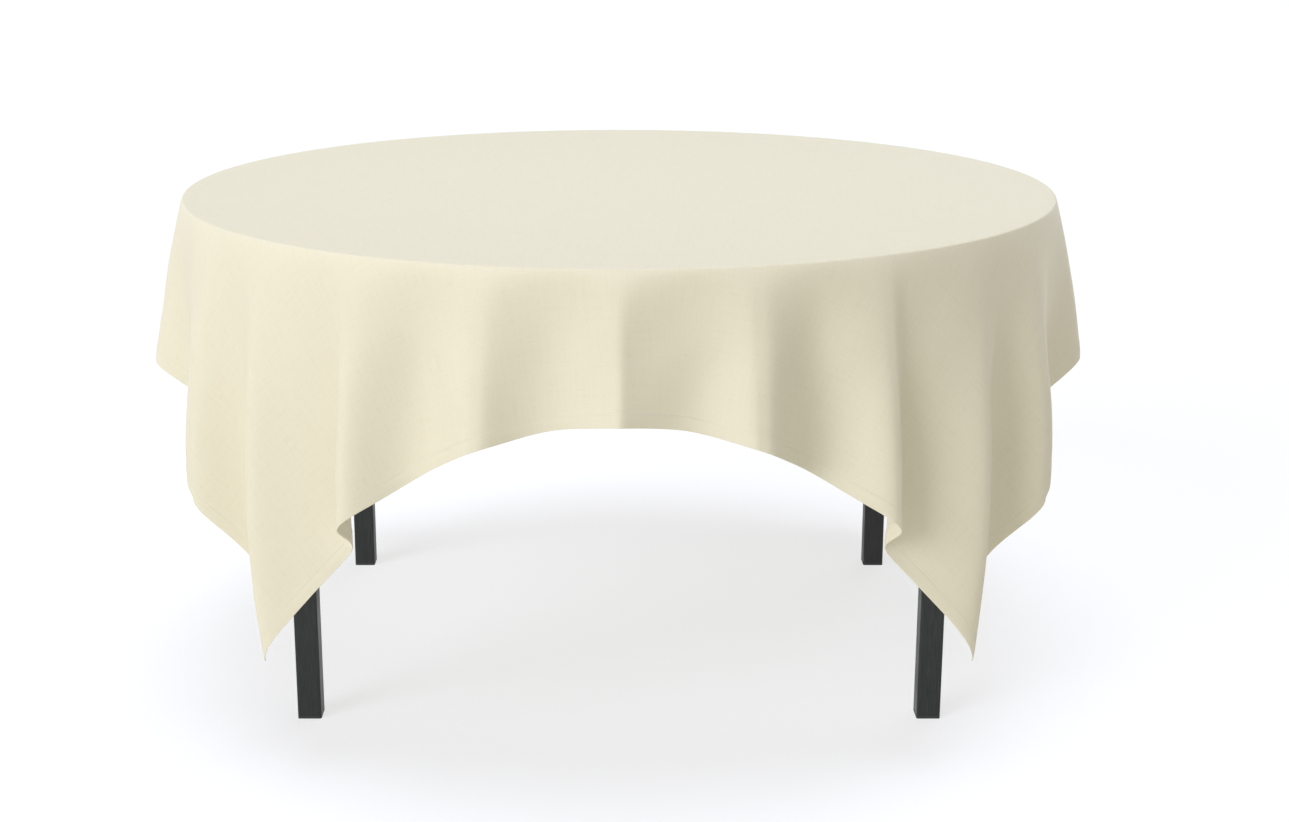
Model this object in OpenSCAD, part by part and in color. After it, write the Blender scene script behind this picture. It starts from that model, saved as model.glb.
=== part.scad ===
// Square tablecloth hanging over a round table.
// Millimetres, +Z up. The origin is on the floor under the middle of the table, and the front is -Y.
// The table is a laminated round top on a bolted underframe with four square legs.
// The cloth is one woven square with turned and stitched hems, and it lifts straight off.

/* [Tabletop] */
// Diameter of the round top over its edge band
top_d = 1371.6; // [1300:0.1:1450]
// Height of the top's upper face above the floor
table_h = 762; // [720:1:790]
// Thickness of the board inside the top
core_t = 18; // [16:1:25]
// Thickness of the laminate above and below the board
laminate_t = 1; // [0.6:0.1:1.5]
// Thickness of the bullet-nosed edge band
band_t = 4; // [3:0.5:5]

/* [Legs and rails] */
// Width of a square leg
leg_w = 36; // [32:1:45]
// Distance between leg centres, left to right
leg_span_x = 945; // [900:1:960]
// Distance between leg centres, front to back
leg_span_y = 691; // [650:1:710]
// Radius on the legs' long edges
leg_edge_r = 3; // [1:0.5:5]
// Height of the rails under the top
rail_h = 70; // [60:1:90]
// Thickness of the rails
rail_t = 18; // [16:1:20]
// Thickness of the foot pads
foot_h = 4; // [3:0.5:6]

/* [Hardware] */
// Diameter of the hanger bolts
bolt_d = 8; // [6:1:10]
// Distance from a leg's centre to its corner bracket, along the diagonal
bracket_reach = 62; // [56:1:75]
// Height of the corner brackets
bracket_h = 50; // [40:1:55]
// Sheet thickness of the brackets and clips
plate_t = 2.5; // [2:0.1:3]
// Diameter of the wood screws
screw_d = 4; // [3.5:0.1:4.5]

/* [Cloth] */
// Side of the square cloth, measured flat over its hems
cloth_w = 1778; // [1700:1:1830]
// Thickness of the cloth, and of each turned hem
cloth_t = 1; // [0.8:0.1:1.2]
// Width of the turned hem
hem_w = 20; // [12:1:30]
// How much further the corners hang by stretching on the bias
bias_stretch = 0.026; // [0:0.001:0.04]
// How far the hanging cloth stands out where it flares most
flare = 50; // [30:1:60]
// Length of hanging cloth over which the flare opens and closes again
flare_span = 800; // [760:10:900]
// Depth of the flutes at the middle of each side, as a share of the flare
flute_mid = 0.2; // [0:0.01:0.5]
// Depth of the flutes beside the corners, as a share of the flare
flute_corner = 0.85; // [0:0.01:0.9]

/* [Hidden] */
$fn = 64;
eps = 0.01;

// Tabletop levels and the edge band's barb, which presses into a groove round the board
core_r = top_d / 2 - band_t;
core_z = table_h - laminate_t - core_t;
under_z = core_z - laminate_t;
groove_t = 2.4;
groove_depth = 9;
barb_l = 8;

// Underframe
corner_signs = [[-1, -1], [1, -1], [-1, 1], [1, 1]];
rail_x = leg_span_x - leg_w;
rail_y = leg_span_y - leg_w;
leg_flat_cut = 5.5;
leg_flat = leg_w * sqrt(2) / 2 - leg_flat_cut;
bolt_z = under_z - rail_h / 2;
bolt_embed = 16;
bolt_tail = 5;
washer_t = 1.6;
washer_d = 20;
nut_h = 7;
bolt_end = bracket_reach + plate_t + washer_t + nut_h + bolt_tail;

// Corner bracket outline, measured from the leg's centre
wing_l = 32;
bend_near = bracket_reach * sqrt(2) - rail_t / 2;
bend_far = (bracket_reach + plate_t) * sqrt(2) - rail_t / 2 - plate_t;
wing_mid = bend_near + wing_l / 2;
wing_screw_dz = 14;

// Wood screws and the angle clips that hold the rails to the top
screw_l = 15;
screw_tip = 3;
hole_gap = 0.5;
head_d = 8;
head_h = 2.4;
clip_w = 24;
clip_leg = 24;
clip_hole = 13;
clip_share = 0.24;
foot_screw_l = 20;
foot_recess = 2.8;

// Cloth: the inner face clears the edge band by edge_gap, even at the middle of a facet
folds = 24;
seg = folds * 4;
edge_gap = 0.5;
rim_r = (top_d / 2 + edge_gap) / cos(180 / seg);
row_share = [0, 0.12, 0.35, 0.65, 1];
fold_row = len(row_share) - 1;
edge_row = fold_row + 1;
lean = pow(flare * PI / flare_span, 2) / 4;
thread_t = 0.4;
thread_w = 1.2;
thread_gap = 0.3;
label_step = 7;
label_w = 22;
label_l = 40;
label_t = 0.4;

wood_black = "#2b2d2a";
steel = "#b9bcbe";
ivory = "#ece5cf";

// ---- Shapes used more than once ----

module soft_square(w, r) {
    square([w - 2 * r, w], center = true);
    square([w, w - 2 * r], center = true);
    for (x = [-1, 1], y = [-1, 1])
        translate([x * (w / 2 - r), y * (w / 2 - r)]) circle(r);
}

// Puts its children at a leg, with +X and +Y pointing along the rails
module at_leg(sx, sy) {
    translate([sx * leg_span_x / 2, sy * leg_span_y / 2, 0])
        mirror([sx > 0 ? 1 : 0, 0, 0]) mirror([0, sy > 0 ? 1 : 0, 0]) children();
}

module at_each_leg() {
    for (s = corner_signs) at_leg(s[0], s[1]) children();
}

// Turns the children's +Z onto the diagonal that runs from the leg to the middle of the table
module along_diagonal() {
    translate([0, 0, bolt_z]) rotate([0, 0, 45]) rotate([0, 90, 0]) children();
}

module wood_screw(l) {
    cylinder(d = head_d, h = head_h);
    translate([0, 0, screw_tip - l]) cylinder(d = screw_d, h = l - screw_tip + eps);
    translate([0, 0, -l]) cylinder(d1 = 0.8, d2 = screw_d, h = screw_tip);
}

// Wing screws of one bracket, heads up along +Z: the two on each rail sit one above the other
module at_wing_screws() {
    for (dz = [-wing_screw_dz, wing_screw_dz]) {
        translate([wing_mid, rail_t / 2, bolt_z + dz]) rotate([-90, 0, 0]) children();
        translate([rail_t / 2, wing_mid, bolt_z + dz]) rotate([0, 90, 0]) children();
    }
}

// Puts its children at the inner top edge of each rail, with +Y pointing inward
module at_each_clip() {
    for (s = [-1, 1]) {
        for (turn = [0, 180])
            rotate([0, 0, turn])
                translate([s * clip_share * rail_x, rail_t / 2 - leg_span_y / 2, under_z]) children();
        for (turn = [90, 270])
            rotate([0, 0, turn])
                translate([s * clip_share * rail_y, rail_t / 2 - leg_span_x / 2, under_z]) children();
    }
}

module at_clip_screws() {
    translate([0, clip_hole, -plate_t]) rotate([180, 0, 0]) children();
    translate([0, plate_t, -clip_hole]) rotate([-90, 0, 0]) children();
}

// ---- Tabletop ----

module clip_screw_bores() {
    at_each_clip() translate([0, clip_hole, -eps]) cylinder(d = screw_d, h = screw_l);
}

module tabletop_core() {
    color("tan") difference() {
        translate([0, 0, core_z]) cylinder(r = core_r, h = core_t);
        translate([0, 0, core_z + (core_t - groove_t) / 2])
            rotate_extrude() translate([core_r - groove_depth, 0]) square([groove_depth + 1, groove_t]);
        clip_screw_bores();
    }
}

module top_laminate() {
    color("ghostwhite") translate([0, 0, table_h - laminate_t]) cylinder(r = core_r, h = laminate_t);
}

module backer_sheet() {
    color("gainsboro") difference() {
        translate([0, 0, under_z]) cylinder(r = core_r, h = laminate_t);
        clip_screw_bores();
    }
}

module edge_band() {
    nose_r = band_t / 2;
    color("dimgray") rotate_extrude() {
        translate([core_r, under_z]) square([nose_r, table_h - under_z]);
        translate([core_r, under_z + nose_r]) square([band_t, table_h - under_z - band_t]);
        for (z = [under_z + nose_r, table_h - nose_r])
            translate([core_r + nose_r, z]) circle(nose_r);
        translate([core_r - barb_l, core_z + (core_t - groove_t) / 2]) square([barb_l + eps, groove_t]);
    }
}

// ---- Underframe ----

// A rail along X with its inner face on +Y, drilled for its brackets and clips
module rail(length) {
    inner = rail_t / 2;
    end_screw = length / 2 + leg_w / 2 - wing_mid;
    color(wood_black) difference() {
        translate([-length / 2, -inner, under_z - rail_h]) cube([length, rail_t, rail_h]);
        for (s = [-1, 1], dz = [-wing_screw_dz, wing_screw_dz])
            translate([s * end_screw, inner + eps, bolt_z + dz])
                rotate([90, 0, 0]) cylinder(d = screw_d, h = screw_l - plate_t);
        for (s = [-1, 1])
            translate([s * clip_share * length, inner + eps, under_z - clip_hole])
                rotate([90, 0, 0]) cylinder(d = screw_d, h = screw_l - plate_t);
    }
}

module rail_front() { translate([0, -leg_span_y / 2, 0]) rail(rail_x); }
module rail_back() { rotate([0, 0, 180]) rail_front(); }
module rail_right() { rotate([0, 0, 90]) translate([0, -leg_span_x / 2, 0]) rail(rail_y); }
module rail_left() { rotate([0, 0, 180]) rail_right(); }

module leg(sx, sy) {
    color(wood_black) at_leg(sx, sy) difference() {
        translate([0, 0, foot_h]) linear_extrude(under_z - foot_h) soft_square(leg_w, leg_edge_r);
        rotate([0, 0, 45]) translate([leg_flat, -leg_w / 2, under_z - rail_h])
            cube([leg_w, leg_w, rail_h + 1]);
        along_diagonal() translate([0, 0, -bolt_embed]) cylinder(d = bolt_d, h = bolt_embed + leg_w);
        translate([0, 0, foot_h - eps]) cylinder(d = screw_d, h = foot_screw_l);
    }
}

module leg_front_left() { leg(-1, -1); }
module leg_front_right() { leg(1, -1); }
module leg_back_left() { leg(-1, 1); }
module leg_back_right() { leg(1, 1); }

module foot(sx, sy) {
    color("black") at_leg(sx, sy) difference() {
        linear_extrude(foot_h) soft_square(leg_w, leg_edge_r);
        translate([0, 0, -eps]) cylinder(d = head_d + 2, h = foot_recess);
        cylinder(d = screw_d + hole_gap, h = foot_h + 1);
    }
}

module foot_front_left() { foot(-1, -1); }
module foot_front_right() { foot(1, -1); }
module foot_back_left() { foot(-1, 1); }
module foot_back_right() { foot(1, 1); }

module bracket(sx, sy) {
    inner = rail_t / 2;
    outline = [[bend_near, inner], [bend_near + wing_l, inner], [bend_near + wing_l, inner + plate_t],
        [bend_far, inner + plate_t], [inner + plate_t, bend_far], [inner + plate_t, bend_near + wing_l],
        [inner, bend_near + wing_l], [inner, bend_near]];
    color(steel) at_leg(sx, sy) difference() {
        translate([0, 0, bolt_z - bracket_h / 2]) linear_extrude(bracket_h) polygon(outline);
        along_diagonal() translate([0, 0, bracket_reach - 1])
            cylinder(d = bolt_d + hole_gap, h = plate_t + 2);
        at_wing_screws() translate([0, 0, -1]) cylinder(d = screw_d + hole_gap, h = plate_t + 2);
    }
}

module bracket_front_left() { bracket(-1, -1); }
module bracket_front_right() { bracket(1, -1); }
module bracket_back_left() { bracket(-1, 1); }
module bracket_back_right() { bracket(1, 1); }

// ---- Hardware, one node for each kind ----

module hanger_bolts() {
    chamfer = 1;
    color("silver") at_each_leg() along_diagonal() {
        translate([0, 0, -bolt_embed]) cylinder(d = bolt_d, h = bolt_embed + bolt_end - chamfer);
        translate([0, 0, bolt_end - chamfer]) cylinder(d1 = bolt_d, d2 = bolt_d - 2 * chamfer, h = chamfer);
    }
}

module washers() {
    color("silver") at_each_leg() along_diagonal() translate([0, 0, bracket_reach + plate_t])
        difference() {
            cylinder(d = washer_d, h = washer_t);
            translate([0, 0, -1]) cylinder(d = bolt_d + hole_gap, h = washer_t + 2);
        }
}

// One wing leans out of the hub and ends in a round lobe
module wing_outline() {
    polygon([[0, 0], [4, 0], [14, 7], [14, 15], [6, nut_h]]);
    translate([13.5, 11]) circle(4.2);
}

module wing_nuts() {
    wing_t = 2.6;
    color("silver") at_each_leg() along_diagonal()
        translate([0, 0, bracket_reach + plate_t + washer_t]) difference() {
            union() {
                cylinder(d1 = 15, d2 = 12, h = nut_h);
                for (turn = [0, 180])
                    rotate([0, 0, turn]) translate([0, wing_t / 2, 0])
                        rotate([90, 0, 0]) linear_extrude(wing_t) wing_outline();
            }
            translate([0, 0, -1]) cylinder(d = bolt_d, h = nut_h + 2);
        }
}

module bracket_screws() {
    color("silver") at_each_leg() at_wing_screws() translate([0, 0, plate_t]) wood_screw(screw_l);
}

module top_clips() {
    color(steel) at_each_clip() difference() {
        union() {
            translate([-clip_w / 2, 0, -plate_t]) cube([clip_w, clip_leg, plate_t]);
            translate([-clip_w / 2, 0, -clip_leg]) cube([clip_w, plate_t, clip_leg]);
        }
        at_clip_screws() translate([0, 0, -plate_t - 1]) cylinder(d = screw_d + hole_gap, h = plate_t + 2);
    }
}

module clip_screws() {
    color("silver") at_each_clip() at_clip_screws() wood_screw(screw_l);
}

module foot_screws() {
    color("silver") at_each_leg() translate([0, 0, foot_recess]) rotate([180, 0, 0])
        wood_screw(foot_screw_l);
}

// ---- Cloth ----

// The cloth is laid out by azimuth a, from the front towards the right, and by row.
// Row 0 runs round the rim, fold_row follows the top of the hem, and edge_row is the bottom edge.
function azimuth(i) = 360 * i / seg;
function square_reach(a, half) = half / max(abs(cos(a)), abs(sin(a)));
function stretched(a) = 1 + bias_stretch * pow(sin(2 * a), 2);
function hang(a, half) = square_reach(a, half) * stretched(a) - rim_r;
function hang_at(row, a) = row == edge_row ? hang(a, cloth_w / 2)
    : row_share[row] * hang(a, cloth_w / 2 - hem_w);
function flute_share(a) = flute_mid + (flute_corner - flute_mid) * pow(sin(2 * a), 2);
function stand_out(a, s) =
    flare * sin(180 * s / flare_span) * (1 - flute_share(a) * (1 - cos(folds * a)) / 2);
function cloth_point(row, i, out) =
    let (a = azimuth(i), s = hang_at(row, a), r = rim_r + stand_out(a, s) + out)
    [r * sin(a), -r * cos(a), table_h - s * (1 - lean)];

// Two triangles over the square a-b-c-d, always split along a-c
function split(a, b, c, d) = [[a, d, c], [a, c, b]];
function mix(p, q, t) = p + (q - p) * t;
function flat(list) = [for (part = list) each part];

module cloth_panel() {
    layer = edge_row * seg + seg;
    top = [for (i = [0 : seg - 1]) [0, 0, cloth_t] + cloth_point(0, i, cloth_t)];
    outer = [for (row = [1 : edge_row], i = [0 : seg - 1]) cloth_point(row, i, cloth_t)];
    inner = [for (row = [0 : edge_row], i = [0 : seg - 1]) cloth_point(row, i, 0)];
    faces = flat([
        [[for (i = [seg - 1 : -1 : 0]) i]],
        [[for (i = [0 : seg - 1]) layer + i]],
        flat([for (row = [0 : fold_row], i = [0 : seg - 1])
            let (a = row * seg + i, d = row * seg + (i + 1) % seg, b = a + seg, c = d + seg)
            concat(split(a, b, c, d), split(layer + a, layer + d, layer + c, layer + b))]),
        flat([for (i = [0 : seg - 1])
            let (a = edge_row * seg + i, d = edge_row * seg + (i + 1) % seg)
            split(a, layer + a, layer + d, d)])]);
    color(ivory) polyhedron(concat(top, outer, inner), faces);
}

// A closed strip through sections of four points each, from the first section to the last
module strip(sections) {
    n = len(sections);
    faces = flat([
        [[0, 1, 2, 3], [for (k = [3 : -1 : 0]) 4 * (n - 1) + k]],
        flat([for (j = [0 : n - 2], k = [0 : 3])
            split(4 * j + k, 4 * j + (k + 1) % 4, 4 * j + 4 + (k + 1) % 4, 4 * j + 4 + k)])]);
    polyhedron(flat(sections), faces);
}

// The double-turned hem along one side lies on the inner face of the cloth
module hem(side) {
    first = side * seg / 4 - seg / 8;
    color("oldlace") strip([for (i = [first : first + seg / 4])
        [cloth_point(fold_row, i, 0), cloth_point(edge_row, i, 0),
            cloth_point(edge_row, i, -cloth_t), cloth_point(fold_row, i, -cloth_t)]]);
}

module hem_front() { hem(0); }
module hem_right() { hem(1); }
module hem_back() { hem(2); }
module hem_left() { hem(3); }

// A row of stitching just below the top of each hem
module hem_stitching() {
    near = 2 / hem_w;
    far = near + thread_w / hem_w;
    function on_hem(i, t, out) = mix(cloth_point(fold_row, i, out), cloth_point(edge_row, i, out), t);
    face = -cloth_t - thread_gap;
    color("wheat") for (side = [0 : 3])
        strip([for (i = [side * seg / 4 - seg / 8 : side * seg / 4 + seg / 8])
            [on_hem(i, near, face), on_hem(i, far, face),
                on_hem(i, far, face - thread_t), on_hem(i, near, face - thread_t)]]);
}

// A blank label caught in the top of the hem, lying flat on one facet of the cloth's inner face
module care_label() {
    foot_left = cloth_point(fold_row, label_step, 0);
    foot_right = cloth_point(fold_row, label_step + 1, 0);
    head_left = cloth_point(fold_row - 1, label_step, 0);
    along = (foot_right - foot_left) / norm(foot_right - foot_left);
    up = (head_left - foot_left) / norm(head_left - foot_left);
    inward = [-sin(azimuth(label_step)), cos(azimuth(label_step)), 0] * label_t;
    function corner(x, y) = foot_left + along * x + up * y;
    left = [corner(2, 0), corner(2, label_l)];
    right = [corner(2 + label_w, 0), corner(2 + label_w, label_l)];
    color("white") strip([for (edge = [left, right])
        [edge[1], edge[0], edge[0] + inward, edge[1] + inward]]);
}

tabletop_core();
top_laminate();
backer_sheet();
edge_band();
rail_front();
rail_back();
rail_left();
rail_right();
leg_front_left();
leg_front_right();
leg_back_left();
leg_back_right();
foot_front_left();
foot_front_right();
foot_back_left();
foot_back_right();
bracket_front_left();
bracket_front_right();
bracket_back_left();
bracket_back_right();
hanger_bolts();
washers();
wing_nuts();
bracket_screws();
top_clips();
clip_screws();
foot_screws();
cloth_panel();
hem_front();
hem_right();
hem_back();
hem_left();
hem_stitching();
care_label();
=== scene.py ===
"""Looks for a square tablecloth on a round table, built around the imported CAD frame.

Metres, +Z up, front at -Y. The cloth is laid out flat first, and drape() says where each flat point hangs.
"""

import math

import bpy
import numpy as np
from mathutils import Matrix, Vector

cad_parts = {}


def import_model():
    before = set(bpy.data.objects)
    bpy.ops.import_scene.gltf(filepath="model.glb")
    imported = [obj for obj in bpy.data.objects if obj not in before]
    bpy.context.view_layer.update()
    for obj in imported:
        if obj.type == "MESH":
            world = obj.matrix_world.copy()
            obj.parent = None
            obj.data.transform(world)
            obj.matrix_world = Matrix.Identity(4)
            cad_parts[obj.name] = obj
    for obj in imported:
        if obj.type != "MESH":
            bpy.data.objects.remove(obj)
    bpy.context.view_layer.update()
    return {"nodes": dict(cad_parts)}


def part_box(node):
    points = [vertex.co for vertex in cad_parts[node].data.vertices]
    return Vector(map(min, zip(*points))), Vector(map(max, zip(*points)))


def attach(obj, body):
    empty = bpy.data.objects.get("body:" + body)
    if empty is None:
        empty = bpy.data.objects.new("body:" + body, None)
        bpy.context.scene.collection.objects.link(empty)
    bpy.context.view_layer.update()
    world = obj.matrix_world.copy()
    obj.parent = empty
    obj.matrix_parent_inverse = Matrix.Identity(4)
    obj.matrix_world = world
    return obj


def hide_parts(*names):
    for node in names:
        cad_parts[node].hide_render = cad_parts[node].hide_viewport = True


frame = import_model()
nodes = frame["nodes"]

MM = 0.001
TABLE = "table"
CLOTH = "tablecloth"
rng = np.random.default_rng(7)

# ---- Sizes ----
TOP_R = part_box("edge_band")[1].x
TOP_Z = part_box("top_laminate")[1].z
HALF = 1.778 / 2
BIAS = 0.03
CLOTH_T = 0.7 * MM
HEM_W = 20 * MM
HEM_T = 0.8 * MM
AIR = 0.25 * MM
BEND_R = 3 * MM
HANG_R = TOP_R + AIR + CLOTH_T / 2
BEND_START = HANG_R - BEND_R
MID_Z = TOP_Z + AIR + CLOTH_T / 2

# ---- How the cloth falls ----
# Ridges and valleys of the folds in one quarter, by azimuth on the flat cloth. The quarters mirror each
# other. A ridge stands out by so many millimetres low down and so many more just under the rim, is so round,
# and turns by so many degrees at the hem.
RIDGES = {
    0: (50, 12, 0.03, 0),
    14.4: (50, 10, 0.2, 0),
    30.4: (45, 8, 0.26, 0.7),
    44.4: (54, 5, 0.12, -0.6),
    57.4: (57.5, 4, 0.3, -1.3),
    75.4: (59, 3.5, 0.2, -1.2),
    90: (56, 3.5, 0.2, 0),
}
# A valley gives up such a share of the flare beside it, takes so long to form, and turns by so many degrees.
VALLEYS = {
    7.3: (0.75, 0.025, 0),
    22.5: (0.95, 0.05, 0.2),
    34.3: (1.0, 0.15, -2.2),
    50.3: (1.0, 0.19, -2.2),
    68.0: (1.0, 0.12, -3.4),
    82.7: (0.75, 0.04, -0.5),
}
VALLEY_ROUND = 0.8
FLARE_SPAN = 0.8
SHOULDER_L = 22 * MM
RIM_ROUND = 0.2
RIM_ROUND_L = 30 * MM
TURN_L = 0.22
JITTER_DEG = 0.6
JITTER_OUT = 0.05
RIPPLES = 7
RIPPLE_H = 1.3 * MM
RIPPLE_FROM = 30 * MM
RIPPLE_GROWTH = 80 * MM
RIPPLE_TURNS = (16, 52)
RIPPLE_LENGTHS = (0.14, 0.4)
SOFTEN_DEG = 0.4
AZ_N = 1536
S_STEP = 0.5 * MM
S_MAX = 0.64
fine_az = np.arange(AZ_N) * 360 / AZ_N


def mirrored(quarter):
    """The quarter's azimuths and values all round the circle, the turns reversed in every other quarter."""
    found = {}
    for a, values in quarter.items():
        for b, way in ((a, 1), (180 - a, -1), (180 + a, 1), (360 - a, -1)):
            found[b % 360] = (*values[:-1], values[-1] * way)
    keys = np.array(sorted(found))
    return keys, np.array([found[k] for k in keys], float).T


def around(keys, values, soften=SOFTEN_DEG):
    """Values in a line from knot to knot round the circle, slightly softened at the knots."""
    order = np.argsort(keys % 360)
    line = np.interp(fine_az, (keys % 360)[order], values[order], period=360)
    away = (fine_az + 180) % 360 - 180
    kernel = np.exp(-0.5 * (away / soften) ** 2)
    return np.fft.irfft(np.fft.rfft(line) * np.fft.rfft(kernel / kernel.sum()), AZ_N)


def running_sum(slopes):
    """The slopes added up down each column, starting from 0."""
    return np.vstack([np.zeros((1, AZ_N)), np.cumsum((slopes[1:] + slopes[:-1]) / 2, axis=0)]) * S_STEP


def ripples(s):
    """Slight uneven waves in the hanging cloth, none of them as far up as the table's edge."""
    total = 0 * s
    for _ in range(RIPPLES):
        turns = int(rng.integers(*RIPPLE_TURNS))
        length = rng.uniform(*RIPPLE_LENGTHS)
        phase, lean = rng.uniform(0, 2 * np.pi, 2)
        total = total + np.cos(turns * np.radians(fine_az) + phase + np.sin(2 * np.pi * s / length + lean))
    grown = np.clip((s - RIPPLE_FROM) / RIPPLE_GROWTH, 0, 1) ** 2
    return RIPPLE_H * total / math.sqrt(RIPPLES) * grown


def lay_out():
    """Radius, height and azimuth of the hanging cloth, by distance from the start of the bend and azimuth."""
    ridges, (ridge_out, shoulder, roundness, ridge_turn) = mirrored(RIDGES)
    valleys, (share, growth, valley_turn) = mirrored(VALLEYS)
    loose = 1 - np.sin(np.radians(2 * ridges)) ** 2
    ridges = ridges + rng.uniform(-JITTER_DEG, JITTER_DEG, len(ridges)) * loose
    ridge_out = ridge_out * (1 + rng.uniform(-JITTER_OUT, JITTER_OUT, len(ridges)) * loose)
    knots = np.concatenate([ridges, valleys])
    s = np.arange(int(S_MAX / S_STEP) + 1)[:, None] * S_STEP

    away = around(knots, np.repeat([0.0, 1.0], [len(ridges), len(valleys)]), soften=0.01)
    sharp = around(ridges, roundness) + RIM_ROUND * np.exp(-s / RIM_ROUND_L)
    fall = np.hypot(away, sharp) - np.hypot(1 - away, VALLEY_ROUND) - away
    low = sharp - math.hypot(1, VALLEY_ROUND)
    high = np.hypot(1, sharp) - VALLEY_ROUND - 1
    crest = 1 - (fall - low) / (high - low)
    kept = 1 - around(valleys, share) * (1 - np.exp(-s / around(valleys, growth))) * (1 - crest)
    out = around(ridges, ridge_out) * MM * np.sin(np.pi * s / FLARE_SPAN)
    lifted = around(ridges, shoulder) * MM * (1 - np.exp(-s / SHOULDER_L))
    flared = (out + lifted) * kept + ripples(s)

    slope = np.gradient(flared, S_STEP, axis=0)
    bend = np.minimum(s / BEND_R, np.pi / 2)
    dr = np.where(bend < np.pi / 2, np.maximum(np.cos(bend), slope), slope)
    radius = BEND_START + running_sum(dr)
    turn = around(knots, np.concatenate([ridge_turn, valley_turn]))
    azimuth = fine_az + turn * (1 - np.exp(-((s / TURN_L) ** 1.5)))
    sideways = radius * np.radians(np.gradient(azimuth, S_STEP, axis=0))
    dz = np.sqrt(np.clip(1 - dr**2 - sideways**2, 0, 1))
    return radius, MID_Z - running_sum(dz), azimuth


hang_radius, hang_z, hang_azimuth = lay_out()


def flat_reach(a, half=HALF):
    """How far it is from the middle of a square to its edge, by azimuth."""
    return half / np.maximum(np.abs(np.cos(a)), np.abs(np.sin(a)))


NORMAL_STEP = 0.4 * MM


def drape(x, y, out):
    """Where the flat points (x, y) hang, moved out of the cloth's middle surface by out."""
    eastward = place(x + NORMAL_STEP, y) - place(x - NORMAL_STEP, y)
    northward = place(x, y + NORMAL_STEP) - place(x, y - NORMAL_STEP)
    normal = np.cross(eastward, northward)
    normal /= np.maximum(np.linalg.norm(normal, axis=-1, keepdims=True), 1e-12)
    return place(x, y) + normal * np.asarray(out)[..., None]


def place(x, y):
    """The flat points (x, y) on the middle surface of the draped cloth."""
    a = np.arctan2(x, -y)
    flat_r = np.hypot(x, y)
    stretched = flat_reach(a) * (1 + BIAS * np.sin(2 * a) ** 2)
    pull = (stretched - BEND_START) / (flat_reach(a) - BEND_START)
    s = np.clip((flat_r - BEND_START) * pull, 0, S_MAX - 2 * S_STEP) / S_STEP
    column = (np.degrees(a) % 360) * AZ_N / 360
    s0, c0 = s.astype(int), column.astype(int) % AZ_N
    c1 = (c0 + 1) % AZ_N
    fs, fc = s - s0, column - np.floor(column)

    def sample(table):
        near = table[s0, c0] * (1 - fs) + table[s0 + 1, c0] * fs
        far = table[s0, c1] * (1 - fs) + table[s0 + 1, c1] * fs
        return near, far

    near, far = sample(hang_azimuth)
    far = far + np.where(far < near - 180, 360, 0)
    azimuth = np.radians(near * (1 - fc) + far * fc)
    near, far = sample(hang_radius)
    radius = near * (1 - fc) + far * fc
    near, far = sample(hang_z)
    height = near * (1 - fc) + far * fc
    on_top = flat_r < BEND_START
    radius = np.where(on_top, flat_r, radius)
    azimuth = np.where(on_top, a, azimuth)
    height = np.where(on_top, MID_Z, height)
    return np.stack([radius * np.sin(azimuth), -radius * np.cos(azimuth), height], axis=-1)


# ---- Mesh helpers ----


def mesh_object(name, points, faces, flat=None):
    """A smooth-shaded object, with the flat coordinates of its points where its material needs them."""
    mesh = bpy.data.meshes.new(name)
    mesh.from_pydata(np.asarray(points).reshape(-1, 3).tolist(), [], faces)
    mesh.validate()
    mesh.shade_smooth()
    if flat is not None:
        laid = mesh.attributes.new("flat", "FLOAT_VECTOR", "POINT")
        laid.data.foreach_set("vector", np.asarray(flat, np.float32).ravel())
    made = bpy.data.objects.new(name, mesh)
    bpy.context.scene.collection.objects.link(made)
    return made


def grid_faces(rows, cols, wrap=True, first=0, flip=False):
    """Quads over a grid of points, row by row, joined round from the last column to the first."""
    faces = []
    for i in range(rows - 1):
        for j in range(cols if wrap else cols - 1):
            k = (j + 1) % cols
            near, far = first + i * cols, first + (i + 1) * cols
            quad = [near + j, far + j, far + k, near + k]
            faces.append(quad[::-1] if flip else quad)
    return faces


# ---- The cloth ----
CLOTH_N = 960
TOP_SHARES = (0.05, 0.2, 0.4, 0.6, 0.8, 0.93, 0.985, 1)
BEND_ROWS = np.array((0.8, 1.6, 2.4, 3.2, 4, 4.8, 6.5, 9, 13, 18, 24)) * MM
HANG_ROWS = 19
HANG_CROWDING = 1.3
HEM_ROWS = np.array((24, 22, 20.6, 19.6, 18.4, 17.4, 15.5, 12, 8, 4, 1.6, 0.5, 0)) * MM
HEM_PUFF = 0.28 * MM
PUFF_AT = np.array((0, 1.5, 8, 17, 20, 21.5)) * MM
PUFF_SHARES = (0, 0.6, 1, 0.9, 0.5, 0)
PULL_SHARE = 0.9
PULL_W = 0.9 * MM
LIP = 0.25 * MM
STITCH_AT = 18.4 * MM


def hem_relief(edge):
    """How far the outer face stands out over the hem, by distance from the cloth's edge."""
    puff = np.interp(edge, PUFF_AT, PUFF_SHARES)
    pulled = np.exp(-(((edge - STITCH_AT) / PULL_W) ** 2))
    return HEM_PUFF * (puff - PULL_SHARE * pulled)


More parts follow.
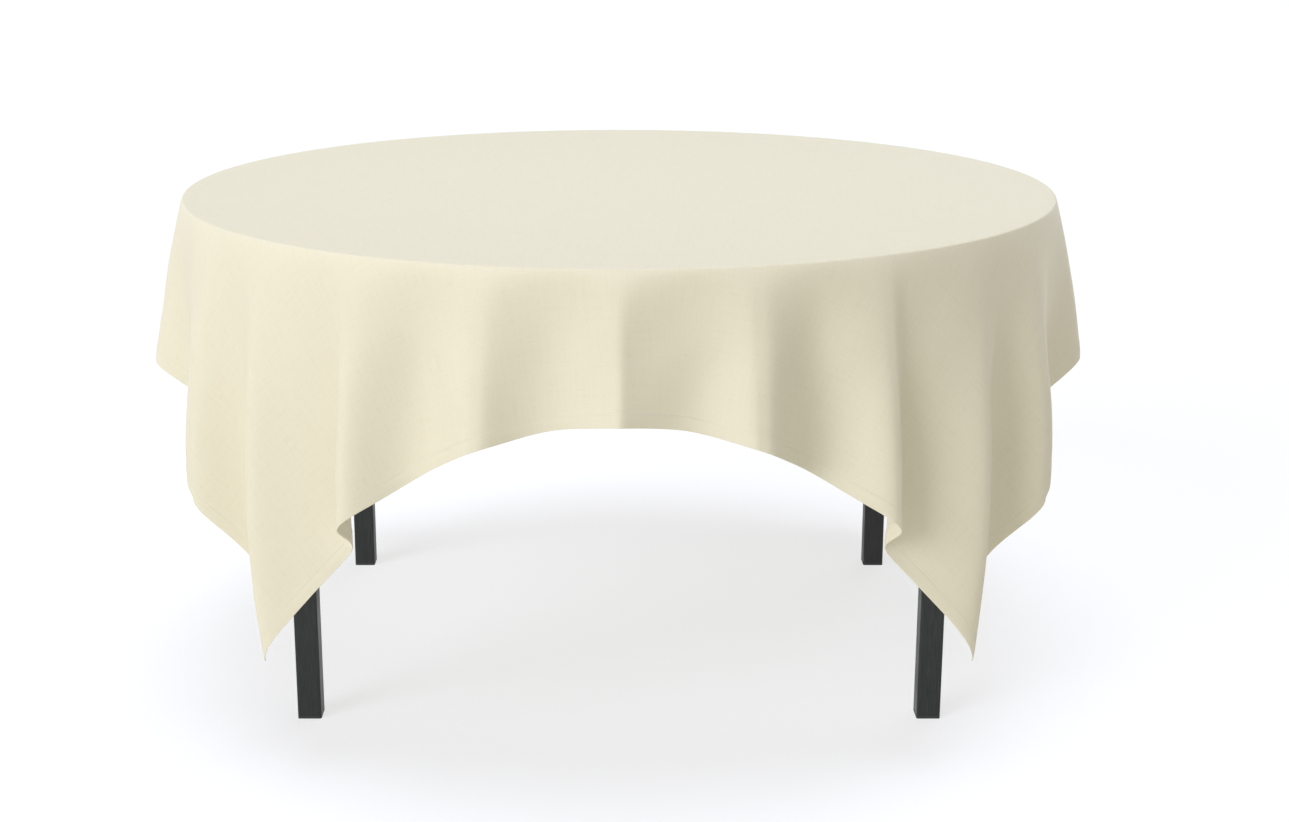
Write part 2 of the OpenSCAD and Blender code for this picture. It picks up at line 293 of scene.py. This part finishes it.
def build_cloth():
    """The draped square as one closed sheet: an outer and an inner face joined round a rounded edge."""
    a = np.arange(CLOTH_N) * 2 * np.pi / CLOTH_N
    reach = flat_reach(a)
    rows = [BEND_START * share + 0 * a for share in TOP_SHARES]
    rows += [BEND_START + s + 0 * a for s in BEND_ROWS]
    start = rows[-1]
    hem_start = flat_reach(a, HALF - HEM_ROWS[0])
    for i in range(1, HANG_ROWS + 1):
        rows.append(start + (hem_start - start) * (i / (HANG_ROWS + 1)) ** HANG_CROWDING)
    rows += [flat_reach(a, HALF - edge) for edge in HEM_ROWS]
    r = np.array(rows)
    x, y = r * np.sin(a), -r * np.cos(a)
    edge = HALF - np.maximum(np.abs(x), np.abs(y))
    outer = drape(x, y, CLOTH_T / 2 + hem_relief(edge))
    inner = drape(x, y, -CLOTH_T / 2 + 0 * x)
    lip = drape(x[-1:], y[-1:], 0 * x[-1:]) - [0, 0, LIP]
    n_rows = len(rows)
    count = n_rows * CLOTH_N
    points = np.concatenate([outer.reshape(-1, 3), inner.reshape(-1, 3), lip.reshape(-1, 3)])
    flat = np.stack([x, y, 0 * x], -1).reshape(-1, 3)
    flat = np.concatenate([flat, flat, np.stack([x[-1], y[-1], 0 * x[-1]], -1)])
    faces = grid_faces(n_rows, CLOTH_N)
    faces += grid_faces(n_rows, CLOTH_N, first=count, flip=True)
    last, lip_first = count - CLOTH_N, 2 * count
    for j in range(CLOTH_N):
        k = (j + 1) % CLOTH_N
        faces.append([last + j, lip_first + j, lip_first + k, last + k])
        faces.append([lip_first + j, last + count + j, last + count + k, lip_first + k])
    faces.append(list(range(CLOTH_N)))
    faces.append(list(range(count + CLOTH_N - 1, count - 1, -1)))
    return mesh_object("tablecloth_drape", points, faces, flat)


cloth = build_cloth()
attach(cloth, CLOTH)
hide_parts("cloth_panel")

# ---- Hems, stitches and label, on the inner face ----
SIDES = ("front", "right", "back", "left")
HEM_SECTIONS = 261
# The folded hem's outline, each point as (distance from the cloth's edge, depth under its inner face). It is
# drawn in at the stitches.
HEM_OUTLINE = np.array([
    (0.7, 0.04), (0.3, 0.25), (0.3, 0.6), (0.7, 0.84), (2.5, 0.88), (8, 0.84), (13, 0.84),
    (17.4, 0.8), (18.4, 0.66), (19.2, 0.78), (19.8, 0.7), (20, 0.45), (19.7, 0.04),
]) * MM
HEM_GAP = 0.3 * MM


def on_side(side, along, edge):
    """Flat coordinates of a point near one side of the cloth, along it and in from its edge."""
    turn = SIDES.index(side) * np.pi / 2
    x, y = along, -(HALF - edge)
    return x * math.cos(turn) - y * math.sin(turn), x * math.sin(turn) + y * math.cos(turn)


def tube_faces(sections, corners):
    """A closed tube over its sections, each a ring of corners."""
    faces = grid_faces(sections, corners, flip=True)
    last = (sections - 1) * corners
    return faces + [list(range(corners - 1, -1, -1)), list(range(last, last + corners))]


def build_hem(side):
    """The hem's folded layers on the inner face along one side of the cloth."""
    t = np.linspace(-1, 1, HEM_SECTIONS)[:, None]
    edge, depth = HEM_OUTLINE.T
    x, y = on_side(side, t * (HALF - edge - HEM_GAP), edge + 0 * t)
    points = drape(x, y, -(CLOTH_T / 2 + depth + 0 * t))
    made = mesh_object("hem_fold_" + side, points, tube_faces(*x.shape), np.stack([x, y, 0 * x], -1))
    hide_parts("hem_" + side)
    return made


# The lockstitches on either face, which stop short of the corners.
STITCH_PITCH = 4.2 * MM
STITCH_L = 3.7 * MM
STITCH_W = 0.6 * MM
STITCH_H = 0.4 * MM
CORNER_FREE = 30 * MM


def build_stitches(name, level):
    """Lockstitches all round the cloth on one face, at a given distance out of its middle surface."""
    count = int(2 * (HALF - CORNER_FREE) / STITCH_PITCH)
    start = (np.arange(count) - count / 2) * STITCH_PITCH
    reach = np.array((-0.5, -0.36, 0.36, 0.5)) * STITCH_L
    fat = np.array((0.25, 1, 1, 0.25))
    points, faces = [], []
    for side in SIDES:
        along = start[:, None] + reach
        x, y = on_side(side, along, STITCH_AT + 0 * along)
        middle = drape(x, y, level + 0 * x)
        up = drape(x, y, level + MM + 0 * x) - middle
        up /= np.linalg.norm(up, axis=-1, keepdims=True)
        ahead = np.gradient(middle, axis=1)
        wide = np.cross(up, ahead)
        wide /= np.linalg.norm(wide, axis=-1, keepdims=True)
        for i in range(count):
            first = len(points) * 4
            for j in range(len(reach)):
                w, h = wide[i, j] * STITCH_W / 2 * fat[j], up[i, j] * STITCH_H / 2 * fat[j]
                points.append([middle[i, j] + w, middle[i, j] + h, middle[i, j] - w, middle[i, j] - h])
            faces += [[first + k for k in face] for face in tube_faces(len(reach), 4)]
    return mesh_object(name, points, faces)


LABEL_W = 22 * MM
LABEL_L = 40 * MM
LABEL_T = 0.5 * MM
LABEL_IN_HEM = 2 * MM
LABEL_GAP = 0.35 * MM
LABEL_CURL = 1.5 * MM


def build_label():
    """A blank tape on the inner face, one end caught in the hem and the other curling off the cloth."""
    low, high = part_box("care_label")
    middle = (low + high) / 2
    azimuth = math.atan2(middle.x, -middle.y)
    along = (HALF - HEM_W) * math.tan(azimuth)
    cols = np.linspace(-LABEL_W / 2, LABEL_W / 2, 13)
    rows = np.linspace(-LABEL_IN_HEM, LABEL_L, 21)[:, None]
    lift = LABEL_GAP + LABEL_CURL * np.clip((rows / LABEL_L - 0.6) / 0.4, 0, 1) ** 2
    x, y = on_side("front", along + cols + 0 * rows, HEM_W + rows + 0 * cols)
    near = drape(x, y, -(CLOTH_T / 2 + lift) + 0 * x)
    far = drape(x, y, -(CLOTH_T / 2 + lift + LABEL_T) + 0 * x)
    n_rows, n_cols = x.shape
    count = n_rows * n_cols
    ring = list(range(n_cols))
    ring += [i * n_cols + n_cols - 1 for i in range(1, n_rows)]
    ring += [count - 1 - j for j in range(1, n_cols)]
    ring += [i * n_cols for i in range(n_rows - 2, 0, -1)]
    faces = grid_faces(n_rows, n_cols, wrap=False, flip=True)
    faces += grid_faces(n_rows, n_cols, wrap=False, first=count)
    for j, a in enumerate(ring):
        b = ring[(j + 1) % len(ring)]
        faces.append([a, count + a, count + b, b])
    points = np.concatenate([near.reshape(-1, 3), far.reshape(-1, 3)])
    flat = np.stack([x, y, 0 * x], -1).reshape(-1, 3)
    made = mesh_object("care_label_tape", points, faces, np.concatenate([flat, flat]))
    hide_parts("care_label")
    return made


OUTER_STITCH_OUT = CLOTH_T / 2 + 0.12 * MM
INNER_STITCH_OUT = -(CLOTH_T / 2 + HEM_T + 0.05 * MM)
hems = [build_hem(side) for side in SIDES]
outer_stitches = build_stitches("hem_stitches_outside", OUTER_STITCH_OUT)
inner_stitches = build_stitches("hem_stitches_inside", INNER_STITCH_OUT)
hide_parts("hem_stitching")
label = build_label()
for made in (*hems, outer_stitches, inner_stitches, label):
    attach(made, CLOTH)

# ---- Hardware: threaded bolts and cross-recess screws in place of the plain CAD ones ----
BOLT_R = 4 * MM
BOLT_PITCH = 1.25 * MM
BOLT_REACH = (-16 * MM, 78.1 * MM)
THREAD_FROM = 20 * MM
THREAD_DEPTH = 0.5 * MM
BOLT_CHAMFER = 0.9 * MM
SCREW_L = 15 * MM
FOOT_SCREW_L = 20 * MM
SCREW_R = 2 * MM
SCREW_POINT_R = 0.4 * MM
SCREW_POINT_L = 3 * MM
HEAD_R = 4 * MM
HEAD_H = 2.4 * MM
HEAD_RIM_H = 0.9 * MM
CROSS_DEPTH = 1.5 * MM
CROSS_HALF_W = 0.75 * MM
CROSS_REACH = 2.6 * MM
CROSS_SLOPE = 0.3 * MM
CROSS_END_SLOPE = 0.5 * MM
DOME_R = HEAD_R * 1.02
DOME_SHARE = 0.45
HEAD_RINGS = np.array((1, 0.97, 0.9, 0.8, 0.68, 0.56, 0.45, 0.34, 0.22, 0.1, 0.02)) * HEAD_R
PLATE_T = 2.5 * MM
RAIL_T = 18 * MM
WING_MID = 94.68 * MM
WING_DZ = 14 * MM
CLIP_HOLE = 13 * MM
CLIP_SHARE = 0.24
FOOT_RECESS = 2.8 * MM


def threaded_rod():
    """A bolt along +Z, plain at its lower end, then threaded, with a chamfered tip."""
    cols = 16
    a = np.arange(cols) * 2 * np.pi / cols
    threaded = np.arange(THREAD_FROM + BOLT_PITCH / 4, BOLT_REACH[1], BOLT_PITCH / 4)
    z = np.concatenate([[BOLT_REACH[0], THREAD_FROM], threaded, [BOLT_REACH[1]]])[:, None]
    phase = (z / BOLT_PITCH - a / (2 * np.pi)) % 1
    groove = THREAD_DEPTH * np.abs(2 * phase - 1) * (z > THREAD_FROM)
    tip = BOLT_CHAMFER * (1 - np.clip((BOLT_REACH[1] - z) / MM, 0, 1))
    r = BOLT_R - groove - tip
    points = np.stack([r * np.cos(a), r * np.sin(a), z + 0 * r], -1)
    return points.reshape(-1, 3), tube_faces(*r.shape)


def cross_screw(length):
    """A wood screw with its head's seat at the origin: a low dome with a tapered cross cut into it."""
    cols = 32
    a = np.arange(cols) * 2 * np.pi / cols
    r = HEAD_RINGS[:, None] + 0 * a
    across = np.minimum(np.abs(r * np.cos(a)), np.abs(r * np.sin(a)))
    arm = np.clip((CROSS_HALF_W - across) / CROSS_SLOPE, 0, 1)
    arm = arm * np.clip((CROSS_REACH - r) / CROSS_END_SLOPE, 0, 1)
    dome = HEAD_H * (1 - DOME_SHARE + DOME_SHARE * np.sqrt(np.clip(1 - (r / DOME_R) ** 2, 0, 1)))
    top = np.stack([r * np.cos(a), r * np.sin(a), dome - CROSS_DEPTH * arm], -1)
    outline = (
        (SCREW_POINT_R, -length),
        (SCREW_R, SCREW_POINT_L - length),
        (SCREW_R, 0),
        (HEAD_R, 0),
        (HEAD_R, HEAD_RIM_H),
    )
    below = []
    for ring, height in outline:
        below.append(np.stack([ring * np.cos(a), ring * np.sin(a), height + 0 * a], -1))
    points = np.concatenate([np.array(below), top])
    return points.reshape(-1, 3), tube_faces(len(points), cols)


def placed(name, shape, spots, replaced):
    """One object holding the shape at every spot, its +Z turned to each spot's axis."""
    points, faces = shape
    all_points = []
    all_faces = []
    for where, axis in spots:
        turn = np.array(Vector(axis).normalized().to_track_quat("Z", "Y").to_matrix())
        all_faces += [[len(all_points) * len(points) + k for k in face] for face in faces]
        all_points.append(points @ turn.T + np.array(where))
    made = mesh_object(name, np.concatenate(all_points), all_faces)
    made.data.set_sharp_from_angle(angle=math.radians(40))
    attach(made, TABLE)
    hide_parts(replaced)
    return made


leg_low, leg_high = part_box("leg_front_left")
plate_low, plate_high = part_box("bracket_front_left")
LEG_X = -(leg_low.x + leg_high.x) / 2
LEG_Y = -(leg_low.y + leg_high.y) / 2
LEG_W = leg_high.x - leg_low.x
UNDER_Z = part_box("backer_sheet")[0].z
BOLT_Z = (plate_low.z + plate_high.z) / 2
CORNERS = [(sx, sy) for sx in (-1, 1) for sy in (-1, 1)]


def bracket_screw_spots():
    """Two screws in each wing of each corner bracket, their heads on the rails' inner side."""
    seat = RAIL_T / 2 + PLATE_T
    spots = []
    for sx, sy in CORNERS:
        x, y = sx * LEG_X, sy * LEG_Y
        for dz in (-WING_DZ, WING_DZ):
            spots.append(((x - sx * WING_MID, y - sy * seat, BOLT_Z + dz), (0, -sy, 0)))
            spots.append(((x - sx * seat, y - sy * WING_MID, BOLT_Z + dz), (-sx, 0, 0)))
    return spots


def clip_screw_spots():
    """One screw up into the top and one out into the rail at each angle clip, two clips to a rail."""
    x_face = LEG_X - RAIL_T / 2
    y_face = LEG_Y - RAIL_T / 2
    spots = []
    for sx, sy in CORNERS:
        x_clip = sx * CLIP_SHARE * (2 * LEG_X - LEG_W)
        y_clip = sy * CLIP_SHARE * (2 * LEG_Y - LEG_W)
        spots.append(((x_clip, sy * (y_face - CLIP_HOLE), UNDER_Z - PLATE_T), (0, 0, -1)))
        spots.append(((x_clip, sy * (y_face - PLATE_T), UNDER_Z - CLIP_HOLE), (0, -sy, 0)))
        spots.append(((sx * (x_face - CLIP_HOLE), y_clip, UNDER_Z - PLATE_T), (0, 0, -1)))
        spots.append(((sx * (x_face - PLATE_T), y_clip, UNDER_Z - CLIP_HOLE), (-sx, 0, 0)))
    return spots


bolt_spots = [((sx * LEG_X, sy * LEG_Y, BOLT_Z), (-sx, -sy, 0)) for sx, sy in CORNERS]
foot_spots = [((sx * LEG_X, sy * LEG_Y, FOOT_RECESS), (0, 0, -1)) for sx, sy in CORNERS]
fittings = [
    placed("hanger_bolts_threaded", threaded_rod(), bolt_spots, "hanger_bolts"),
    placed("bracket_screws_cross", cross_screw(SCREW_L), bracket_screw_spots(), "bracket_screws"),
    placed("clip_screws_cross", cross_screw(SCREW_L), clip_screw_spots(), "clip_screws"),
    placed("foot_screws_cross", cross_screw(FOOT_SCREW_L), foot_spots, "foot_screws"),
]

# ---- Materials ----


def new_material(name, color, roughness, **sockets):
    """A Principled material and its node tree. Sockets are given by name with underscores."""
    material = bpy.data.materials.new(name)
    material.use_nodes = True
    shader = material.node_tree.nodes["Principled BSDF"]
    shader.inputs["Base Color"].default_value = (*color, 1)
    shader.inputs["Roughness"].default_value = roughness
    for socket, value in sockets.items():
        shader.inputs[socket.replace("_", " ")].default_value = value
    return material, material.node_tree, shader


def add(tree, kind, links=(), settings=(), **values):
    """A node with its settings, values and incoming links, each link as (socket, node, output)."""
    made = tree.nodes.new(kind)
    for name, value in settings:
        setattr(made, name, value)
    for name, value in values.items():
        made.inputs[name.replace("_", " ")].default_value = value
    for socket, node, output in links:
        tree.links.new(node.outputs[output], made.inputs[socket])
    return made


YARN_PITCH = 0.45 * MM


def cloth_material():
    """Plain-woven ivory cloth: yarns cross on the flat coordinates, and slubs run along them both ways."""
    material, tree, shader = new_material(
        "ivory_cloth_weave",
        (0.671, 0.613, 0.433),
        0.78,
        Sheen_Weight=0.12,
        Sheen_Roughness=0.45,
        Specular_IOR_Level=0.25,
    )
    flat = add(tree, "ShaderNodeAttribute", settings=[("attribute_name", "flat")])
    warp = add(tree, "ShaderNodeMapping", [("Vector", flat, "Vector")], Scale=(1400, 90, 1))
    weft = add(tree, "ShaderNodeMapping", [("Vector", flat, "Vector")], Scale=(90, 1400, 1))
    warp_noise = add(tree, "ShaderNodeTexNoise", [("Vector", warp, "Vector")], Scale=1.0, Detail=2.0)
    weft_noise = add(tree, "ShaderNodeTexNoise", [("Vector", weft, "Vector")], Scale=1.0, Detail=2.0)
    yarns = add(
        tree,
        "ShaderNodeMath",
        [(0, warp_noise, "Fac"), (1, weft_noise, "Fac")],
        [("operation", "ADD")],
    )
    slubs = []
    for stretch in ((330, 16, 1), (16, 330, 1)):
        along = add(tree, "ShaderNodeMapping", [("Vector", flat, "Vector")], Scale=stretch)
        slubs.append(add(tree, "ShaderNodeTexNoise", [("Vector", along, "Vector")], Scale=1.0, Detail=3.0))
    both = add(tree, "ShaderNodeMath", [(0, slubs[0], "Fac"), (1, slubs[1], "Fac")], [("operation", "ADD")])
    tones = add(tree, "ShaderNodeMath", [(0, both, "Value"), (1, yarns, "Value")], [("operation", "ADD")])
    split = add(tree, "ShaderNodeSeparateXYZ", [("Vector", flat, "Vector")])
    waves = []
    for axis in ("X", "Y"):
        scaled = add(tree, "ShaderNodeMath", [(0, split, axis)], [("operation", "MULTIPLY")])
        scaled.inputs[1].default_value = math.pi / YARN_PITCH
        waves.append(add(tree, "ShaderNodeMath", [(0, scaled, "Value")], [("operation", "SINE")]))
    crossing = add(
        tree,
        "ShaderNodeMath",
        [(0, waves[0], "Value"), (1, waves[1], "Value")],
        [("operation", "MULTIPLY")],
    )
    height = add(
        tree,
        "ShaderNodeMath",
        [(0, crossing, "Value"), (1, yarns, "Value")],
        [("operation", "ADD")],
    )
    bump = add(tree, "ShaderNodeBump", [("Height", height, "Value")], Strength=0.25, Distance=0.06 * MM)
    tree.links.new(bump.outputs["Normal"], shader.inputs["Normal"])
    shade = add(tree, "ShaderNodeMath", [(0, tones, "Value")], [("operation", "MULTIPLY")])
    shade.inputs[1].default_value = 0.5
    ramp = add(tree, "ShaderNodeValToRGB", [("Fac", shade, "Value")])
    ramp.color_ramp.elements[0].position = 0.8
    ramp.color_ramp.elements[0].color = (0.656, 0.598, 0.418, 1)
    ramp.color_ramp.elements[1].position = 1.0
    ramp.color_ramp.elements[1].color = (0.686, 0.628, 0.448, 1)
    tree.links.new(ramp.outputs["Color"], shader.inputs["Base Color"])
    return material


def noise(tree, vector, output, scale, detail=2.0, stretch=(1, 1, 1)):
    """Noise over some coordinates, finer along the axes with a higher stretch."""
    mapped = add(tree, "ShaderNodeMapping", [("Vector", vector, output)], Scale=stretch)
    return add(tree, "ShaderNodeTexNoise", [("Vector", mapped, "Vector")], Scale=scale, Detail=detail)


def shaded(tree, shader, source, output, low, high, socket="Base Color"):
    """Runs a factor through a two-stop ramp, each stop as (position, color or value), into the shader."""
    ramp = add(tree, "ShaderNodeValToRGB", [("Fac", source, output)])
    for element, (position, value) in zip(ramp.color_ramp.elements, (low, high)):
        element.position = position
        element.color = (*value, 1) if isinstance(value, tuple) else (value, value, value, 1)
    tree.links.new(ramp.outputs["Color"], shader.inputs[socket])


def embossed(tree, shader, source, output, strength, distance):
    """Runs a height through a bump node into the shader's normal."""
    bump = add(tree, "ShaderNodeBump", [("Height", source, output)], Strength=strength, Distance=distance)
    tree.links.new(bump.outputs["Normal"], shader.inputs["Normal"])


def wood_material(name, grain):
    """Black lacquer over wood: the grain shows as fine long pores, and the gloss is a little uneven."""
    material, tree, shader = new_material(name, (0.016, 0.018, 0.016), 0.5, Specular_IOR_Level=0.35)
    place_at = add(tree, "ShaderNodeTexCoord")
    stretch = [1.0, 1.0, 1.0]
    stretch[grain] = 0.035
    pores = noise(tree, place_at, "Object", 900, 3.0, stretch)
    patches = noise(tree, place_at, "Object", 14, 3.0)
    shaded(tree, shader, pores, "Fac", (0.35, (0.010, 0.011, 0.010)), (0.65, (0.022, 0.024, 0.021)))
    shaded(tree, shader, patches, "Fac", (0.3, 0.38), (0.7, 0.55), "Roughness")
    embossed(tree, shader, pores, "Fac", 0.35, 0.08 * MM)
    return material


def speckled_material(name, low, high, roughness, scale, strength, distance):
    """A material whose colour and relief follow the same noise."""
    material, tree, shader = new_material(name, low, roughness)
    place_at = add(tree, "ShaderNodeTexCoord")
    grains = noise(tree, place_at, "Object", scale, 4.0)
    shaded(tree, shader, grains, "Fac", (0.4, low), (0.6, high))
    embossed(tree, shader, grains, "Fac", strength, distance)
    return material


def chip_material():
    """Particle board: pressed chips of many tones, rough where it is cut."""
    material, tree, shader = new_material("particle_board", (0.45, 0.33, 0.2), 0.85)
    place_at = add(tree, "ShaderNodeTexCoord")
    squashed = add(tree, "ShaderNodeMapping", [("Vector", place_at, "Object")], Scale=(1, 1, 2.5))
    chips = add(tree, "ShaderNodeTexVoronoi", [("Vector", squashed, "Vector")], Scale=420.0)
    split = add(tree, "ShaderNodeSeparateColor", [("Color", chips, "Color")])
    shaded(tree, shader, split, "Red", (0.0, (0.30, 0.20, 0.11)), (1.0, (0.62, 0.48, 0.31)))
    embossed(tree, shader, chips, "Distance", 0.5, 0.3 * MM)
    return material


def zinc_material():
    """Zinc-plated steel: faint spangle in colour and gloss, and fine scratches."""
    material, tree, shader = new_material("zinc_plated_steel", (0.6, 0.61, 0.62), 0.35, Metallic=1.0)
    place_at = add(tree, "ShaderNodeTexCoord")
    spangle = add(tree, "ShaderNodeTexVoronoi", [("Vector", place_at, "Object")], Scale=260.0)
    split = add(tree, "ShaderNodeSeparateColor", [("Color", spangle, "Color")])
    shaded(tree, shader, split, "Green", (0.0, (0.52, 0.53, 0.55)), (1.0, (0.68, 0.69, 0.69)))
    shaded(tree, shader, split, "Blue", (0.0, 0.28), (1.0, 0.46), "Roughness")
    scratches = noise(tree, place_at, "Object", 1500, 2.0, (1, 0.05, 1))
    embossed(tree, shader, scratches, "Fac", 0.12, 0.03 * MM)
    return material


def thread_material():
    """Sewing thread: two plies twisted round each other."""
    material, tree, shader = new_material("ivory_thread_twist", (0.78, 0.74, 0.6), 0.6, Sheen_Weight=0.15)
    place_at = add(tree, "ShaderNodeTexCoord")
    twist = add(tree, "ShaderNodeTexWave", [("Vector", place_at, "Object")], Scale=900.0, Distortion=1.5)
    twist.bands_direction = "DIAGONAL"
    shaded(tree, shader, twist, "Fac", (0.0, (0.66, 0.62, 0.49)), (0.6, (0.80, 0.76, 0.62)))
    embossed(tree, shader, twist, "Fac", 0.4, 0.05 * MM)
    return material


def tape_material():
    """White satin label tape with a rib across it."""
    material, tree, shader = new_material("white_label_tape", (0.86, 0.86, 0.84), 0.5, Sheen_Weight=0.2)
    flat = add(tree, "ShaderNodeAttribute", settings=[("attribute_name", "flat")])
    ribs = noise(tree, flat, "Vector", 1.0, 1.0, (250, 2600, 1))
    shaded(tree, shader, ribs, "Fac", (0.35, (0.80, 0.80, 0.78)), (0.65, (0.90, 0.90, 0.88)))
    embossed(tree, shader, ribs, "Fac", 0.3, 0.05 * MM)
    return material


cloth_weave = cloth_material()
zinc = zinc_material()
upright = wood_material("lacquer_legs", grain=2)
crosswise = wood_material("lacquer_rails_x", grain=0)
lengthwise = wood_material("lacquer_rails_y", grain=1)
plastic = speckled_material(
    "black_plastic",
    low=(0.016, 0.016, 0.016),
    high=(0.028, 0.028, 0.028),
    roughness=0.6,
    scale=2200,
    strength=0.25,
    distance=0.05 * MM,
)
board = chip_material()
face_laminate = speckled_material(
    "laminate_face",
    low=(0.70, 0.69, 0.65),
    high=(0.79, 0.78, 0.75),
    roughness=0.38,
    scale=700,
    strength=0.08,
    distance=0.02 * MM,
)
back_laminate = speckled_material(
    "laminate_backer",
    low=(0.46, 0.42, 0.36),
    high=(0.52, 0.48, 0.41),
    roughness=0.6,
    scale=300,
    strength=0.15,
    distance=0.03 * MM,
)
edging = speckled_material(
    "dark_edge_band",
    low=(0.030, 0.030, 0.028),
    high=(0.045, 0.045, 0.042),
    roughness=0.42,
    scale=1200,
    strength=0.15,
    distance=0.03 * MM,
)
# The CAD pieces that stay visible, by whole name or by its first word. The rest are zinc-plated steel.
FINISHES = {
    "leg": upright,
    "foot": plastic,
    "tabletop": board,
    "top_laminate": face_laminate,
    "backer": back_laminate,
    "edge": edging,
    "rail_front": crosswise,
    "rail_back": crosswise,
    "rail": lengthwise,
}
for name, node in nodes.items():
    finish = FINISHES.get(name) or FINISHES.get(name.split("_")[0]) or zinc
    node.data.materials.clear()
    node.data.materials.append(finish)
thread = thread_material()
tape = tape_material()
for made in (cloth, *hems):
    made.data.materials.append(cloth_weave)
for made in (outer_stitches, inner_stitches):
    made.data.materials.append(thread)
label.data.materials.append(tape)
for made in fittings:
    made.data.materials.append(zinc)

# ---- Floor, light and camera ----


def stage():
    """A plain white floor, which glows a little so that it stays near white."""
    bpy.ops.mesh.primitive_plane_add(size=120)
    floor = bpy.context.object
    floor.name = "studio_floor"
    material, _, _ = new_material(
        "floor_white",
        (0.3, 0.3, 0.3),
        0.9,
        Specular_IOR_Level=0.0,
        Emission_Color=(1, 1, 1, 1),
        Emission_Strength=0.7,
    )
    floor.data.materials.append(material)


HORIZON_Z = 0.15
HORIZON_GREY = 0.98
SKY_Z = 0.26
SKY_GREY = 0.06


def world():
    """A near-white surround up to a little above the horizon, and a dim sky over it."""
    made = bpy.data.worlds.new("studio")
    bpy.context.scene.world = made
    made.use_nodes = True
    tree = made.node_tree
    background = tree.nodes["Background"]
    direction = add(tree, "ShaderNodeTexCoord")
    split = add(tree, "ShaderNodeSeparateXYZ", [("Vector", direction, "Generated")])
    ramp = add(tree, "ShaderNodeValToRGB", [("Fac", split, "Z")])
    ramp.color_ramp.elements[0].position = HORIZON_Z
    ramp.color_ramp.elements[0].color = (HORIZON_GREY, HORIZON_GREY, HORIZON_GREY, 1)
    ramp.color_ramp.elements[1].position = SKY_Z
    ramp.color_ramp.elements[1].color = (SKY_GREY, SKY_GREY, SKY_GREY, 1)
    tree.links.new(ramp.outputs["Color"], background.inputs["Color"])
    background.inputs["Strength"].default_value = 1.0


LIGHT_COLOR = (0.95, 0.99, 1.14)


def sun(name, azimuth, elevation, strength, softness):
    """A sun from an azimuth off the front, its elevation and softness in degrees."""
    light = bpy.data.lights.new(name, "SUN")
    light.energy = strength
    light.color = LIGHT_COLOR
    light.angle = math.radians(softness)
    made = bpy.data.objects.new(name, light)
    a = math.radians(azimuth)
    e = math.radians(elevation)
    towards = Vector((math.sin(a) * math.cos(e), -math.cos(a) * math.cos(e), math.sin(e)))
    made.rotation_euler = towards.to_track_quat("Z", "Y").to_euler()
    bpy.context.scene.collection.objects.link(made)


def softbox(name, location, size, power):
    """A square light facing straight down."""
    light = bpy.data.lights.new(name, "AREA")
    light.shape = "SQUARE"
    light.size = size
    light.energy = power
    light.color = LIGHT_COLOR
    made = bpy.data.objects.new(name, light)
    made.location = location
    bpy.context.scene.collection.objects.link(made)


LENS = 55.86
SENSOR_W = 36
SHIFT_X = 0.0198
CAMERA_AT = (0, -3.186, 1.264)
CAMERA_TILT = 74.62


def camera():
    """A camera placed so that the table stands in the render as it does in the photo."""
    data = bpy.data.cameras.new("camera")
    data.lens = LENS
    data.sensor_width = SENSOR_W
    data.shift_x = SHIFT_X
    made = bpy.data.objects.new("camera", data)
    made.location = CAMERA_AT
    made.rotation_euler = (math.radians(CAMERA_TILT), 0, 0)
    bpy.context.scene.collection.objects.link(made)
    bpy.context.scene.camera = made


stage()
world()
sun("key", azimuth=-47, elevation=22, strength=1.95, softness=35)
sun("back", azimuth=150, elevation=20, strength=0.8, softness=40)
sun("overhead", azimuth=0, elevation=88, strength=2.15, softness=40)
softbox("fill", location=(-0.4, 0, 2.65), size=1.3, power=7)
camera()
bpy.context.scene.view_settings.view_transform = "Standard"
